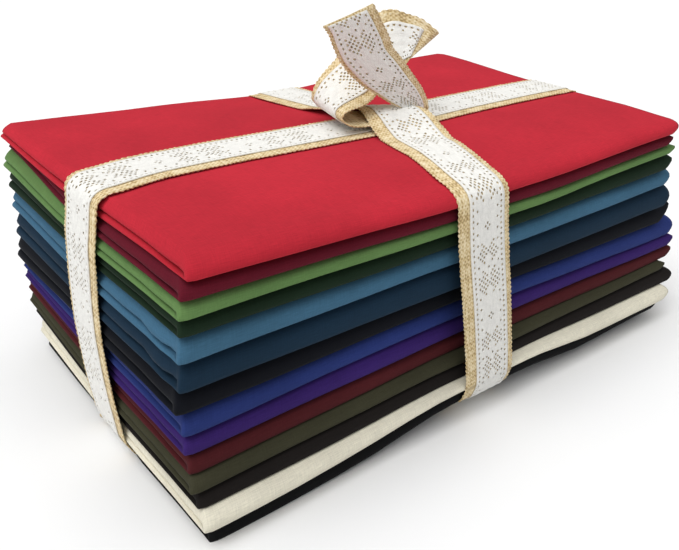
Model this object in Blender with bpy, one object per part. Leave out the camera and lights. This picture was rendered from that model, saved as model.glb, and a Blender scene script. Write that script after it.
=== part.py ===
"""A bundle of fourteen folded fat quarters of plain cotton, tied both ways with a
burlap ribbon that has a lace strip sewn along it. Metres, +Z up. The long side runs
along X, the front (the folded side) faces -Y, and the bundle rests on Z = 0."""

import bmesh
import bpy
from mathutils import Vector

MM = 0.001

# Cloth: 18 x 22 in cuts, folded to 9 in long and 5.5 in deep.
FOLDED_LENGTH = 228.6
FOLDED_DEPTH = 139.7
LEAF = 1.0  # one leaf is two plies of cotton that lie together
GAP = 0.3  # between pieces
FOLD_REACH = 2.6  # how far a rounded fold starts before its edge
NOSE_DEPTH = 5.0  # the front fold leans back by this much from crease to top
NOSE = ((0.22, 0.45), (0.52, 0.80))  # shares of that depth and of the fold's height
INNER_SETBACK = 6.5  # the inner front fold lies this far behind the outer one
INNER_SETBACK_PER_MM = 7.5  # and further back where the front is squeezed thin
ROOMY_FRONT = 5.6  # front height at which the inner fold needs no more room
END_TUCK = 1.6  # the front crease draws in at the two ends
END_ROUND = 3.5  # over this length at each end
FREE_EDGE_SETBACK = 1.5  # the outer free edge stops this far before the back fold
INNER_EDGE_SETBACK = 1.0  # and the inner one a little before that
MARGIN = 0.5  # least distance between two points of an outline

# Ribbon, 1 in wide, with the lace a narrower strip on its outer side.
RIBBON_WIDTH = 25.4
RIBBON_THICK = 1.0
LACE_WIDTH = 17.0
LACE_THICK = 0.6
LACE_RISE = RIBBON_THICK / 2 + GAP + LACE_THICK / 2
BAND_CLEAR = GAP + RIBBON_THICK / 2

CLOTH_ROUGHNESS = 0.85
BURLAP_COLOUR, BURLAP_ROUGHNESS = (0.62, 0.44, 0.19), 0.9
LACE_COLOUR, LACE_ROUGHNESS = (0.80, 0.79, 0.76), 0.8

# Heights in mm of the lower side of each cloth, from the top one down: at the front
# crease near the left end, under the cross band and at the right end, then inside the
# stack, and at the back of the left end. left, right and front are how far each
# cloth's left end, right end and front crease lie from the nominal box.
CLOTH_COLUMNS = ("name", "colour", "near", "tie", "far", "inside", "back", "left", "right", "front")
CLOTHS = (
    ("cloth_red", (0.56, 0.024, 0.042), 86.7, 82.3, 85.5, 85.8, 86.4, 3.2, -8.5, -1.3),
    ("cloth_burgundy", (0.13, 0.008, 0.02), 81.6, 78.4, 81.4, 80.5, 81.0, 0.8, -8.3, -0.7),
    ("cloth_leaf_green", (0.14, 0.26, 0.085), 76.2, 74.6, 77.5, 75.1, 75.6, -0.2, -5.8, -1.1),
    ("cloth_forest_green", (0.012, 0.028, 0.014), 70.4, 68.0, 70.4, 68.7, 69.2, 0.1, -4.5, 0.2),
    ("cloth_steel_blue", (0.06, 0.16, 0.26), 62.4, 61.1, 62.7, 61.4, 60.8, -1.1, -2.1, 0.3),
    ("cloth_ink_blue", (0.011, 0.032, 0.06), 53.0, 51.8, 53.3, 53.0, 51.4, -1.5, -0.1, 0.1),
    ("cloth_blue_black", (0.006, 0.007, 0.011), 44.2, 44.7, 44.5, 45.1, 43.0, -2.0, 9.0, 3.0),
    ("cloth_royal_blue", (0.026, 0.045, 0.20), 36.3, 39.0, 36.2, 38.2, 36.6, -0.6, 13.3, 2.8),
    ("cloth_purple", (0.045, 0.018, 0.15), 30.2, 32.7, 31.4, 32.3, 31.2, -1.0, 14.3, 1.9),
    ("cloth_maroon", (0.085, 0.013, 0.016), 23.9, 26.3, 25.9, 26.6, 25.8, -0.7, 14.0, 1.2),
    ("cloth_olive", (0.055, 0.053, 0.030), 18.8, 21.9, 22.4, 21.2, 20.4, -1.9, 6.5, -1.7),
    ("cloth_dark_brown", (0.015, 0.012, 0.011), 13.3, 16.1, 16.3, 15.5, 14.9, -0.6, 9.9, -3.0),
    ("cloth_cream", (0.71, 0.65, 0.50), 7.8, 12.7, 10.4, 10.0, 9.4, -1.3, 3.9, -7.1),
    ("cloth_black", (0.006, 0.006, 0.007), 0.0, 5.8, 6.0, 0.0, 0.0, 1.5, 0.8, -4.4),
)
TOP_LEVEL = {"near": 92.2, "tie": 89.0, "far": 92.2, "inside": 93.3, "back": 92.8}
# The two lowest cloths hang a little lower between the ribbon and the ends.
BELLY = {"cloth_cream": 1.0, "cloth_black": 2.4}

# Where the stack's levels change: all cloths are sampled on these same lines.
LEFT_X, LEFT_BLEND_X, LEFT_HALF_X = -114.3, -100.0, -60.0
TIE_LEFT_X, TIE_RIGHT_X = -13.0, 25.0
RIGHT_HALF_X, RIGHT_X = 65.0, 114.3
X_LINES = (LEFT_BLEND_X, LEFT_HALF_X, TIE_LEFT_X, TIE_RIGHT_X, RIGHT_HALF_X)
FOLD_Y, SLOPE_Y, LEVEL_Y, BACK_Y = -62.0, -53.0, -44.0, 45.0
Y_LINES = (FOLD_Y, SLOPE_Y, LEVEL_Y, BACK_Y)
FRONT_SHARE = ((-70.0, 1.0), (FOLD_Y, 0.8), (SLOPE_Y, 0.35), (LEVEL_Y, 0.0))
LEFT_SHARE = ((LEFT_X, 1.0), (LEFT_BLEND_X, 0.7), (LEFT_HALF_X, 0.0))

# The long band lies along X at this y, and the cross band under the stack at this x.
LONG_BAND_Y = -6.5
CROSS_BAND_X = 6.0
CROSS_BAND_TOP_X = 4.0
CROSS_BAND_LEAN = ((0.0, 6.6), (30.0, 5.4), (67.0, 1.5), (95.0, 1.5))  # x by height
KNOT_X = (13.0, -5.0)  # where the long band meets the knot, right and left
CHANNEL_FLOOR = 2.4  # the lowest cloth is pressed up by one band
CROSSING_FLOOR = 4.6  # and by two where the bands cross
CHANNEL_HALF = RIBBON_WIDTH / 2 + 1.0
CHANNEL_SLOPE = 5.0

CORE_SIZE = (11.0, 9.0, 5.3)  # the turned ribbon inside the knot
CORE_MIDDLE = (5.0, -8.0, 96.95)

SHARPEST_MITRE = 0.62
RECENTRE = Vector((-6.15, 2.067, 0.0))  # puts the origin under the middle of the whole
COLLECTION = "fat_quarter_bundle"


def between(value, rows):
    """The second column of rows, read off at a value of the first."""
    if value <= rows[0][0]:
        return rows[0][1]
    for (a, low), (b, high) in zip(rows, rows[1:]):
        if value <= b:
            return low + (high - low) * (value - a) / (b - a)
    return rows[-1][1]


def table_rows():
    return [dict(zip(CLOTH_COLUMNS, row)) for row in CLOTHS]


def channel(x, y):
    """How high the ribbon presses up the underside of the lowest cloth."""
    across = abs(y - LONG_BAND_Y) - CHANNEL_HALF
    along = abs(x - CROSS_BAND_X) - CHANNEL_HALF
    crossing = between(x, (
        (LEFT_HALF_X, CHANNEL_FLOOR), (TIE_LEFT_X, CROSSING_FLOOR),
        (TIE_RIGHT_X, CROSSING_FLOOR), (RIGHT_HALF_X, CHANNEL_FLOOR),
    ))
    long_rise = crossing * max(0.0, min(1.0, 1 - across / CHANNEL_SLOPE))
    cross_rise = CHANNEL_FLOOR * max(0.0, min(1.0, 1 - along / CHANNEL_SLOPE))
    return max(long_rise, cross_rise)


class Level:
    """The height field between two cloths, or above or below them all."""

    def __init__(self, row, belly=0.0, pressed=False):
        self.row = row
        self.belly = belly
        self.pressed = pressed

    def at_front(self, x):
        row = self.row
        left_half = (row["near"] + row["tie"]) / 2 - self.belly
        right_half = (row["far"] + row["tie"]) / 2 - self.belly
        return max(0.0, between(x, (
            (LEFT_X, row["near"]), (LEFT_HALF_X, left_half), (TIE_LEFT_X, row["tie"]),
            (TIE_RIGHT_X, row["tie"]), (RIGHT_HALF_X, right_half), (RIGHT_X, row["far"]),
        )))

    def __call__(self, x, y):
        front = self.at_front(x)
        share = between(y, FRONT_SHARE)
        middle = self.row["inside"] + share * (front - self.row["inside"])
        depth = (y + FOLDED_DEPTH / 2) / FOLDED_DEPTH
        end = front + (self.row["back"] - front) * max(0.0, min(1.0, depth))
        left = between(x, LEFT_SHARE)
        height = middle + left * (end - middle)
        if self.pressed:
            height = max(height, channel(x, y))
        return height


def front_of(row):
    return -FOLDED_DEPTH / 2 + row["front"]


def inner_fold(row, above, below, x):
    """Where the inner front fold lies, further back where the front is squeezed."""
    front = front_of(row)
    height = above(x, front + NOSE_DEPTH) - below(x, front) - GAP
    squeezed = max(0.0, ROOMY_FRONT - height)
    return front + INNER_SETBACK + INNER_SETBACK_PER_MM * squeezed


def fold_outline(row, above, below, x, y_lines, inner_lines, tuck):
    """The closed outline of one cloth where a plane cuts it at x. The cloth runs from
    its free edge at the back, round the front fold and back over the top, then folds
    in and lies back and forth once more inside."""
    half = LEAF / 2
    front = front_of(row) + tuck
    back = front_of(row) + FOLDED_DEPTH

    def top(y):
        return above(x, y) - GAP / 2

    def low(y):
        return below(x, y) + (0.0 if below.pressed else GAP / 2)

    def spare(y):
        return (top(y) - low(y) - 4 * LEAF) / 3

    def outer_low(y):
        return (y, low(y) + half)

    def outer_top(y):
        return (y, top(y) - half)

    def inner_top(y):
        return (y, top(y) - half - LEAF - spare(y))

    def inner_low(y):
        return (y, low(y) + half + LEAF + spare(y))

    inner = inner_fold(row, above, below, x) + tuck
    tail = back - FREE_EDGE_SETBACK

    path = [outer_low(tail)]
    path += [outer_low(y) for y in reversed(y_lines)]
    path.append((front + half, low(front) + half))
    height = top(front + NOSE_DEPTH) - low(front) - LEAF
    for lean, rise in NOSE:
        path.append((front + half + lean * (NOSE_DEPTH - half), low(front) + half + rise * height))
    path.append(outer_top(front + NOSE_DEPTH))
    path += [outer_top(y) for y in y_lines]
    path.append(outer_top(back - FOLD_REACH))
    middle = (outer_top(back)[1] + inner_top(back)[1]) / 2
    path.append((back - half, middle))
    path.append(inner_top(back - FOLD_REACH))
    path += [inner_top(y) for y in reversed(inner_lines)]
    path.append(inner_top(inner + FOLD_REACH))
    middle = (inner_top(inner)[1] + inner_low(inner)[1]) / 2
    path.append((inner + half, middle))
    path.append(inner_low(inner + FOLD_REACH))
    path += [inner_low(y) for y in inner_lines]
    path.append(inner_low(tail - INNER_EDGE_SETBACK))
    return thickened(path, LEAF)


def offset(path, distance, closed=False):
    """A line in a plane, moved to its left by a distance, with mitred corners."""
    points = [Vector(p) for p in path]
    moved = []
    for i, point in enumerate(points):
        last = i + 1 == len(points)
        before = (point - points[i - 1]).normalized() if i or closed else None
        after = (points[(i + 1) % len(points)] - point).normalized() if closed or not last else None
        before = before or after
        after = after or before
        turn = (before + after).normalized()
        left = Vector((-turn.y, turn.x))
        share = max(SHARPEST_MITRE, left.dot(Vector((-before.y, before.x))))
        moved.append(point + left * distance / share)
    return moved


def thickened(path, thick):
    """Both sides of a centreline in a plane, as one closed outline."""
    return offset(path, thick / 2) + offset(path, -thick / 2)[::-1]


def new_object(name, bm, colour, roughness, collection):
    """A mesh object with its own material, with its faces turned outwards."""
    bmesh.ops.recalc_face_normals(bm, faces=bm.faces)
    mesh = bpy.data.meshes.new(name)
    bm.to_mesh(mesh)
    bm.free()
    material = bpy.data.materials.new(name)
    material.use_nodes = True
    shader = material.node_tree.nodes["Principled BSDF"]
    shader.inputs["Base Color"].default_value = (*colour, 1.0)
    shader.inputs["Roughness"].default_value = roughness
    shader.inputs["Metallic"].default_value = 0.0
    material.diffuse_color = (*colour, 1.0)
    mesh.materials.append(material)
    obj = bpy.data.objects.new(name, mesh)
    collection.objects.link(obj)
    return obj


def placed(point):
    """A point in millimetres of the stack, in metres from the origin."""
    return (Vector(point) + RECENTRE) * MM


def add_loft(bm, rings, closed=False):
    """Joins rings of equal length with triangles, and caps the two ends. A ring is both
    sides of a line, so a cap is a strip between its two halves."""
    loops = [[bm.verts.new(placed(p)) for p in ring] for ring in rings]
    pairs = list(zip(loops, loops[1:] + loops[:1])) if closed else list(zip(loops, loops[1:]))
    for one, two in pairs:
        for i in range(len(one)):
            j = (i + 1) % len(one)
            if one[j].co.y >= one[i].co.y:
                bm.faces.new((one[i], one[j], two[j]))
                bm.faces.new((one[i], two[j], two[i]))
            else:
                bm.faces.new((one[i], one[j], two[i]))
                bm.faces.new((one[j], two[j], two[i]))
    if closed:
        return
    for loop in (loops[0][::-1], loops[-1]):
        for i in range(len(loop) // 2 - 1):
            bm.faces.new((loop[i], loop[i + 1], loop[-2 - i]))
            bm.faces.new((loop[i], loop[-2 - i], loop[-1 - i]))


def make_cloths(collection):
    """One loft for each folded cloth, from its left end to its right."""
    rows = table_rows()
    above = Level(TOP_LEVEL)
    for row in rows:
        lowest = row is rows[-1]
        below = Level(row, BELLY.get(row["name"], 0.0), pressed=lowest)
        left = -FOLDED_LENGTH / 2 + row["left"]
        right = FOLDED_LENGTH / 2 + row["right"]
        ends = (left, left + END_ROUND, right - END_ROUND, right)
        x_lines = [x for x in X_LINES if ends[1] + END_TUCK < x < ends[2] - END_TUCK]
        y_lines = list(Y_LINES)
        if lowest:
            for centre, lines in ((CROSS_BAND_X, x_lines), (LONG_BAND_Y, y_lines)):
                for half in (CHANNEL_HALF, CHANNEL_HALF + CHANNEL_SLOPE):
                    lines += [x for x in (centre - half, centre + half) if x not in lines]
        stations = sorted((*ends, *x_lines))
        nose_end = front_of(row) + NOSE_DEPTH + END_TUCK + MARGIN
        y_lines = sorted(y for y in y_lines if y > nose_end)
        fold_end = max(inner_fold(row, above, below, x) for x in stations)
        fold_end += END_TUCK + FOLD_REACH + MARGIN
        inner_lines = [y for y in y_lines if y > fold_end]
        rings = []
        for x in stations:
            tuck = END_TUCK if x in (left, right) else 0.0
            outline = fold_outline(row, above, below, x, y_lines, inner_lines, tuck)
            rings.append([(x, y, z) for y, z in outline])
        bm = bmesh.new()
        add_loft(bm, rings)
        new_object(row["name"], bm, row["colour"], CLOTH_ROUGHNESS, collection)
        above = below


def outer_chain(points):
    """Of points (reach, height), those a taut band touches, from the top down."""
    chain = []
    for point in sorted(points, key=lambda p: -p[1]):
        while len(chain) > 1:
            (a, b), (c, d) = chain[-2], chain[-1]
            if (c - a) * (point[1] - b) - (d - b) * (point[0] - a) <= 0:
                break
            chain.pop()
        chain.append(point)
    return chain


def strip_rings(rows, width, thick, rise=0.0, closed=False):
    """Sections of a flat strip. Each row is the place of its middle, the direction
    across it and a share of its width; rise moves the strip off its outer side."""
    places = [Vector(row[0]) for row in rows]
    rings = []
    for i, (_, across, share) in enumerate(rows):
        before = places[i - 1] if i or closed else places[i]
        after = places[(i + 1) % len(rows)] if i + 1 < len(rows) or closed else places[i]
        into = (places[i] - before).normalized() if before != places[i] else None
        out = (after - places[i]).normalized() if after != places[i] else None
        into = into or out
        out = out or into
        side = Vector(across).normalized()
        normal = (into + out).cross(side).normalized()
        stretch = 1 / max(SHARPEST_MITRE, normal.dot(into.cross(side).normalized()))
        side = side * width * share / 2
        top = normal * (rise + thick / 2) * stretch
        low = normal * (rise - thick / 2) * stretch
        rings.append([
            places[i] - side + low, places[i] + side + low,
            places[i] + side + top, places[i] - side + top,
        ])
    return rings


def long_band(levels, rows):
    """The loop that runs over the top, down the left end, under, and up the right."""
    top, bottom = levels[0], levels[-1]
    y = LONG_BAND_Y
    left_points, right_points = [], []
    for row, above, below in zip(rows, levels, levels[1:]):
        left = -FOLDED_LENGTH / 2 + row["left"]
        right = FOLDED_LENGTH / 2 + row["right"]
        for level in (above, below):
            left_points.append((-left, level(left, y)))
            right_points.append((right, level(right, y)))
    over = (RIGHT_HALF_X, TIE_RIGHT_X, *KNOT_X, TIE_LEFT_X, LEFT_HALF_X)
    under = (LEFT_HALF_X, TIE_LEFT_X, TIE_RIGHT_X, RIGHT_HALF_X)
    path = [(x, top(x, y)) for x in over]
    path += [(-reach, z) for reach, z in outer_chain(left_points)]
    path += [(x, bottom(x, y)) for x in under]
    path += outer_chain(right_points)[::-1]
    centre = offset(path, -BAND_CLEAR, closed=True)
    return [((x, y, z), (0, -1, 0), 1.0) for x, z in centre]


# How high the cross band stands off the top cloth where it passes over the knot.
HUMP = ((-33.0, 0.0), (-23.0, 4.2), (-15.0, 5.6), (3.0, 5.6), (12.0, 3.6), (21.0, 0.0))


def nose_outside(row, above, below, x):
    """The outer side of a front fold, from its top down to its crease."""
    front = front_of(row)
    low, high = below(x, front), above(x, front + NOSE_DEPTH)
    points = [(front + NOSE_DEPTH, high)]
    for lean, rise in reversed(NOSE):
        y = front + lean * (NOSE_DEPTH - LEAF / 2)
        points.append((y, low + LEAF / 2 + rise * (high - low - LEAF) + LEAF / 4))
    return points + [(front, low)]


def cross_band(levels, rows):
    """The loop that runs over the top, down the back, under, and up the front."""
    top, bottom = levels[0], levels[-1]
    x = CROSS_BAND_X
    front_points, back_points = [], []
    for row, above, below in zip(rows, levels, levels[1:]):
        front_points += [(-y, z) for y, z in nose_outside(row, above, below, x)]
        back = front_of(row) + FOLDED_DEPTH
        back_points += [(back, above(x, back)), (back, below(x, back))]
    path = [(y, top(x, y) + rise) for y, rise in HUMP]
    path += outer_chain(back_points)
    path += [(BACK_Y, bottom(x, BACK_Y)), (LONG_BAND_Y, CHANNEL_FLOOR)]
    path += [(y, bottom(x, y)) for y in (SLOPE_Y, FOLD_Y)]
    path += [(-reach, z) for reach, z in reversed(outer_chain(front_points))]
    path += [(y, top(x, y)) for y in (SLOPE_Y, LEVEL_Y)]
    centre = offset(path, BAND_CLEAR, closed=True)
    return [((cross_x(y, z), y, z), (-1, 0, 0), 1.0) for y, z in centre]


def cross_x(y, z):
    """The cross band leans a little: right down the front, and straight elsewhere."""
    if y > SLOPE_Y + MARGIN:
        return CROSS_BAND_TOP_X if z > TOP_LEVEL["tie"] / 2 else CROSS_BAND_X
    return between(z, CROSS_BAND_LEAN)


# The two free ends of the ribbon: places of the middle, the direction across, and the
# share of the full width that the pinched or turned ribbon keeps.
FRONT_END = (
    ((16.2, -13.0, 98.4), (-0.3, 0.95, -0.1), 0.30),
    ((17.5, -13.5, 101.9), (-0.7, 0.7, 0.1), 0.45),
    ((10.0, -13.8, 105.6), (-0.98, -0.15, 0.12), 0.88),
    ((-1.6, -13.8, 115.6), (-0.99, -0.13, -0.03), 1.0),
    ((-9.5, -13.8, 124.6), (-0.99, -0.12, -0.02), 1.0),
    ((-13.6, -13.8, 131.4), (-0.98, -0.14, -0.1), 0.95),
    ((-16.3, -13.8, 136.1), (-0.95, -0.14, -0.26), 0.95),
)
BACK_END = (
    ((6.0, -7.5, 96.75), (0, 1, 0), 0.9),
    ((-10.0, -7.5, 96.75), (0, 1, 0), 0.95),
    ((-19.0, -7.8, 98.0), (0, 1, 0), 0.98),
    ((-23.6, -7.8, 102.4), (0, 1, 0), 1.0),
    ((-20.6, -5.0, 107.2), (-0.05, 1, -0.05), 1.0),
    ((-14.0, -0.5, 110.8), (-0.1, 1, -0.12), 1.0),
    ((-4.0, 4.5, 115.8), (-0.12, 1, -0.2), 1.0),
    ((8.0, 6.0, 121.2), (-0.1, 0.95, -0.35), 1.0),
    ((18.0, 4.0, 125.6), (-0.05, 0.85, -0.5), 0.95),
    ((25.0, 2.0, 127.8), (0, 0.8, -0.6), 0.9),
)


def knot_core(bm):
    """The turned ribbon inside the knot, which holds both bands together."""
    bmesh.ops.create_cube(bm, size=1.0)
    for vert in bm.verts:
        vert.co = placed(Vector(CORE_MIDDLE) + Vector(a * b for a, b in zip(vert.co, CORE_SIZE)))
    bmesh.ops.triangulate(bm, faces=bm.faces)


def make_ribbon(collection, helpers, levels, rows):
    """The burlap ribbon as one body: two loops, the knot between them, two ends."""
    bands = {
        "long": (long_band(levels, rows), True),
        "cross": (cross_band(levels, rows), True),
        "front_end": (FRONT_END, False),
        "back_end": (BACK_END, False),
    }
    pieces = {}
    for name, (strip, closed) in bands.items():
        bm = bmesh.new()
        add_loft(bm, strip_rings(strip, RIBBON_WIDTH, RIBBON_THICK, closed=closed), closed)
        home = collection if name == "long" else helpers
        label = "ribbon_burlap" if name == "long" else "helper_" + name
        pieces[name] = new_object(label, bm, BURLAP_COLOUR, BURLAP_ROUGHNESS, home)
    bm = bmesh.new()
    knot_core(bm)
    pieces["core"] = new_object("helper_core", bm, BURLAP_COLOUR, BURLAP_ROUGHNESS, helpers)
    ribbon = pieces.pop("long")
    for name in ("core", "cross", "back_end", "front_end"):
        helper = pieces[name]
        helper.hide_render = True
        helper.display_type = "WIRE"
        union = ribbon.modifiers.new(name, "BOOLEAN")
        union.operation = "UNION"
        union.object = helper
    return bands


def make_lace(collection, bands):
    """The lace strip, in the lengths that the knot leaves in sight."""
    long_strip = bands["long"][0]
    cross_strip = bands["cross"][0]
    lengths = {
        "lace_long": (long_strip[3:] + long_strip[:3], False),
        "lace_cross": (cross_strip, True),
        "lace_front_end": (FRONT_END[2:], False),
        "lace_back_end": (BACK_END[2:], False),
    }
    for name, (strip, closed) in lengths.items():
        bm = bmesh.new()
        rings = strip_rings(strip, LACE_WIDTH, LACE_THICK, LACE_RISE, closed)
        add_loft(bm, rings, closed)
        new_object(name, bm, LACE_COLOUR, LACE_ROUGHNESS, collection)


def main():
    for obj in list(bpy.data.objects):
        bpy.data.objects.remove(obj)
    collection = bpy.data.collections.new(COLLECTION)
    helpers = bpy.data.collections.new("helpers")
    for each in (collection, helpers):
        bpy.context.scene.collection.children.link(each)
    rows = table_rows()
    levels = [Level(TOP_LEVEL)]
    for row in rows:
        levels.append(Level(row, BELLY.get(row["name"], 0.0), pressed=row is rows[-1]))
    make_cloths(collection)
    bands = make_ribbon(collection, helpers, levels, rows)
    make_lace(collection, bands)


main()
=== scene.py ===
"""The dressed fat quarter bundle: fourteen folded cottons, a burlap ribbon with a picot
edge, and the openwork lace along it. Lengths are in millimetres until they are placed."""

import math

import bpy
import numpy as np
from mathutils import Matrix, Vector


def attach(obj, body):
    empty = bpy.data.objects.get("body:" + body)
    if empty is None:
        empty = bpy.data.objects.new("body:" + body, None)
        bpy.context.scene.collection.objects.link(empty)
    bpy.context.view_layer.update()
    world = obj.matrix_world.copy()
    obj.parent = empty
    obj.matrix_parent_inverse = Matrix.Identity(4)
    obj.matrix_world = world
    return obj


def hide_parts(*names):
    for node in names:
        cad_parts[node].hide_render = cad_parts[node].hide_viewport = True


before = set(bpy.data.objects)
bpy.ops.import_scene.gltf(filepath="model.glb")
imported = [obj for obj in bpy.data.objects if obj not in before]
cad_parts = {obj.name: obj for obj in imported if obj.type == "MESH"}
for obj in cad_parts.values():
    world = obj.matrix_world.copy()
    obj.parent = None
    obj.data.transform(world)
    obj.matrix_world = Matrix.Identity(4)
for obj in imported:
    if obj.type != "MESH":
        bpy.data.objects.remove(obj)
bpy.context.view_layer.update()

MM = 0.001
RECENTRE = np.array([-6.15, 2.067, 0.0])

# The folded cloths, as in the solids.
FOLDED_LENGTH = 228.6
FOLDED_DEPTH = 139.7
PLY = 0.34
GAP = 0.3
NOSE_DEPTH = 5.0
UNDERCUT = 1.1
# The undercut ends at this share of the way round the front fold.
UNDERCUT_END = 0.45
FRONT_OUT = 0.7
# How far the inner plies draw in at the front: at least, and for each millimetre of height.
INSET = (2.0, 0.22)
# The front roll is deeper on top than NOSE_DEPTH by this, and the top cloth's by more.
ROLL_EXTRA = 2.5
BIG_ROLL = 3.0
# The shape of the front roll: how it leans back and how it rises.
LEAN_POWER = 0.82
RISE_POWER = 1.05
# The share of a cloth's height that lies under the middle fold, and over it.
UNDER_SHARE = 0.35
OVER_SHARE = 0.65
# The fold at the left end: how far the lower and the upper half bulge out, and where
# along the turn they do.
BULGE = (1.3, 1.7)
BULGE_SKEW = (0.75, 1.05)
BULGE_REACH = 0.41
# The near left corner reaches less far by this, and less and less over this depth.
CORNER_DRAW = 1.8
CORNER_DEPTH = 60.0
# The lower half's share of the thickness, and how much less it is at the corner.
HALF_SHARE = 0.22
HALF_DEEPER = 0.10
HALF_THINNER = 0.11
SLIT = 0.25
# Where a cloth gapes at its near left corner and how far that reaches.
MOUTH_AT = 8.0
MOUTH_REACH = 6.0
PLY_DEPTHS = (0.09, 0.36)
COLUMNS = ("name", "near", "tie", "far", "inside", "back", "left", "right", "front")
CLOTHS = (
    ("cloth_red", 86.7, 84.3, 87.3, 85.8, 86.4, 3.2, -8.5, -1.3),
    ("cloth_burgundy", 81.6, 79.4, 82.8, 80.5, 81.0, 0.8, -8.3, -0.7),
    ("cloth_leaf_green", 76.2, 75.6, 78.9, 75.1, 75.6, -0.2, -5.8, -1.1),
    ("cloth_forest_green", 70.4, 69.7, 71.4, 68.7, 69.2, 0.1, -4.5, 0.2),
    ("cloth_steel_blue", 62.4, 62.7, 63.9, 61.4, 60.8, -1.1, -2.1, 0.3),
    ("cloth_ink_blue", 53.0, 53.2, 53.8, 53.0, 51.4, -1.5, -0.1, 0.1),
    ("cloth_blue_black", 44.2, 45.4, 44.5, 45.1, 43.0, -2.0, 9.0, 3.0),
    ("cloth_royal_blue", 36.3, 39.0, 36.2, 38.2, 36.6, -0.6, 13.3, 2.8),
    ("cloth_purple", 30.2, 32.7, 31.4, 32.3, 31.2, -1.0, 14.3, 1.9),
    ("cloth_maroon", 23.9, 26.3, 25.9, 26.6, 25.8, -0.7, 14.0, 1.2),
    ("cloth_olive", 18.8, 21.9, 22.4, 21.2, 20.4, -1.9, 6.5, -1.7),
    ("cloth_dark_brown", 13.3, 17.0, 16.3, 15.5, 14.9, -0.6, 9.9, -3.0),
    ("cloth_cream", 7.8, 14.2, 10.4, 10.0, 9.4, -1.3, 3.9, -7.1),
    ("cloth_black", 0.0, 8.0, 6.0, 0.0, 0.0, 1.5, 0.8, -4.4),
)
TOP = {"name": "top", "near": 92.2, "tie": 89.0, "far": 92.2, "inside": 93.3, "back": 94.8}
BELLY = {"cloth_cream": 1.0, "cloth_black": 2.4}
FRONT_SHARE = ((-70.0, 1.0), (-62.0, 0.8), (-53.0, 0.35), (-44.0, 0.0))
LEFT_SHARE = ((-114.3, 1.0), (-100.0, 0.7), (-60.0, 0.0))

# How far the back left corner sticks out and how much longer the cloth is at the right.
SPLAY = {
    "cloth_red": (4.0, 3.0),
    "cloth_burgundy": (-0.8, 1.7),
    "cloth_leaf_green": (1.5, 1.7),
    "cloth_forest_green": (1.0, 2.0),
}
OTHER_SPLAY = (0.0, 1.2)
# How much higher the underside of a cloth is at the back left and back right corners.
CORNERS = {
    "top": (0.4, 2.3),
    "cloth_red": (4.0, 1.5),
    "cloth_burgundy": (5.0, 0.8),
    "cloth_leaf_green": (3.4, 0.4),
    "cloth_forest_green": (1.0, 0.0),
    "cloth_steel_blue": (1.2, 0.0),
    "cloth_ink_blue": (-0.8, 0.0),
    "cloth_blue_black": (-3.2, 0.0),
    "cloth_royal_blue": (-1.2, 0.0),
    "cloth_olive": (1.3, 0.0),
    "cloth_dark_brown": (1.8, 0.0),
}
# The right end of each cloth: the height of its tip, how sharp the tip is and how far
# the other plies draw back from it.
POINTED = (0.55, 1.15, 4.6)
TIPS = {
    "cloth_red": (0.72, 1.8, 2.6),
    "cloth_steel_blue": (0.6, 2.0, 3.2),
    "cloth_ink_blue": (0.55, 2.6, 3.4),
    "cloth_blue_black": (0.75, 0.9, 6.5),
    "cloth_royal_blue": (0.55, 2.0, 3.4),
    "cloth_dark_brown": (0.5, 2.4, 3.4),
    "cloth_cream": (0.6, 2.0, 4.0),
}
# How far a cloth gapes at its near left corner.
MOUTHS = {"cloth_red": 0.7, "cloth_burgundy": 0.4, "cloth_steel_blue": 0.5, "cloth_ink_blue": 0.5}
# The taut tie pulls the back edge down: how far, where, and over what length.
BACK_DIP = (3.6, 6.0, 44.0)

DYE = 0.82
COLOURS = {
    "cloth_red": (0.56, 0.024, 0.042),
    "cloth_burgundy": (0.13, 0.008, 0.02),
    "cloth_leaf_green": (0.14, 0.26, 0.085),
    "cloth_forest_green": (0.012, 0.028, 0.014),
    "cloth_steel_blue": (0.06, 0.16, 0.26),
    "cloth_ink_blue": (0.011, 0.032, 0.06),
    "cloth_blue_black": (0.006, 0.007, 0.011),
    "cloth_royal_blue": (0.026, 0.045, 0.20),
    "cloth_purple": (0.045, 0.018, 0.15),
    "cloth_maroon": (0.085, 0.013, 0.016),
    "cloth_olive": (0.055, 0.053, 0.030),
    "cloth_dark_brown": (0.015, 0.012, 0.011),
    "cloth_cream": (0.92, 0.87, 0.71),
    "cloth_black": (0.006, 0.006, 0.007),
}

FLOOR_HALF = 30.0
# The studio: soft lights by direction, how narrow they are and how bright, and what
# comes from everywhere.
SKY = (
    ((0.0, 0.0, 1.0), 3.0, 2.05), ((-0.85, -0.1, 0.5), 8.0, 1.25), ((-0.3, -1.0, 0.2), 6.0, 0.36),
)
SKY_FLOOR = 0.02
KEY_WAY = (0.45, -0.05, -0.9)
KEY_STRENGTH = 0.9
KEY_ANGLE = 35
CAMERA_AT = np.array([-185.17, -231.66, 179.68])
CAMERA_AZIMUTH, CAMERA_ELEVATION, CAMERA_ROLL = 0.651078, 0.478607, 0.0106818
# The camera's focal length and the picture's width in pixels, and the sensor in millimetres.
FOCAL_PIXELS = 780.02
PICTURE_WIDTH = 679
SENSOR_WIDTH = 36.0

LONG_BAND_Y = -6.5
CROSS_BAND_X = 6.0
CHANNEL_FLOOR = 2.4
CROSSING_FLOOR = 4.6
CHANNEL_HALF = 13.7
CHANNEL_SLOPE = 5.0

RIBBON_HALF = 12.1
RIBBON_THICK = 0.5
LACE_HALF = 8.5
LACE_THICK = 0.3
LACE_CELLS = 17
CELL = 1.0
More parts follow.
